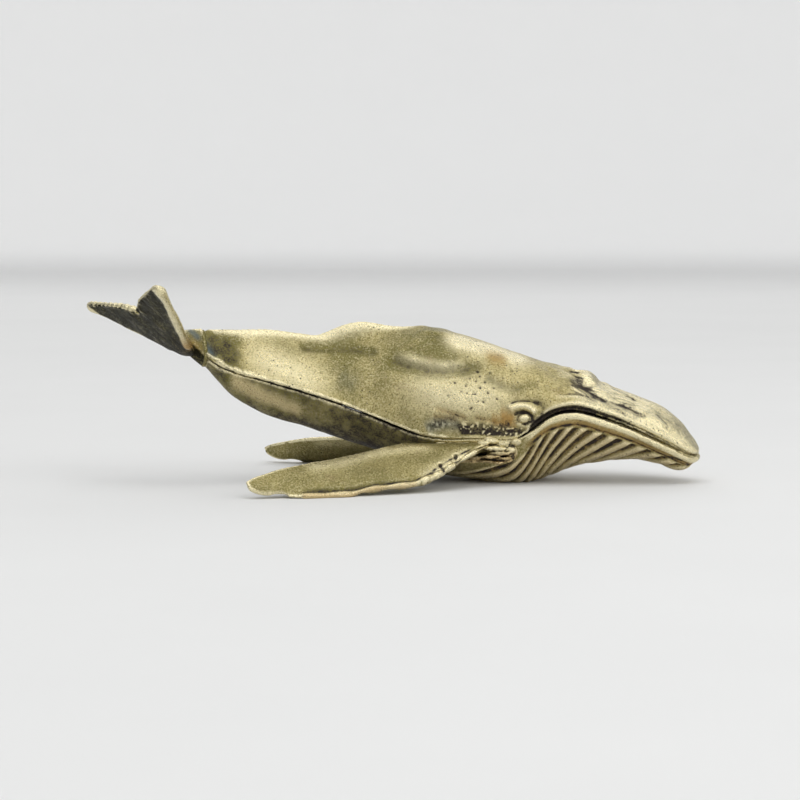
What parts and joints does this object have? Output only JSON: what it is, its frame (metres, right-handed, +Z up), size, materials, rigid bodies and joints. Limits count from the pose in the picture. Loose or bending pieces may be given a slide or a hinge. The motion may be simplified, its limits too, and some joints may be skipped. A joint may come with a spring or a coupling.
{
  "type": "whale figurine",
  "caption": "Small cast brass humpback whale ornament with spread pectoral fins and raised tail flukes, resting on its throat and the edges of its fins.",
  "frame": {"origin": "in the flat on the throat that the whale rests on", "axes": "+X towards the snout, +Y to the whale's left, +Z up"},
  "size_m": [0.0875, 0.0454, 0.0286],
  "materials": {
    "body_brass": "cast, pitted, dark patina in the recesses, worn bright on the ridges",
    "fin_brass": "cast, pitted, dark patina in the recesses, worn bright on the edges",
    "fluke_brass": "cast, darkened underneath, worn bright on the edges",
    "pin_brass": "drawn rod",
    "braze_metal": "filed braze"
  },
  "bodies": {
    "root": {"back_casting": "body_brass", "belly_casting": "body_brass", "right_pectoral_fin": "fin_brass", "left_pectoral_fin": "fin_brass", "tail_flukes": "fluke_brass", "tail_pin": "pin_brass", "snout_pin": "pin_brass", "right_fin_braze": "braze_metal", "left_fin_braze": "braze_metal", "fluke_braze": "braze_metal"}
  },
  "joints": []
}
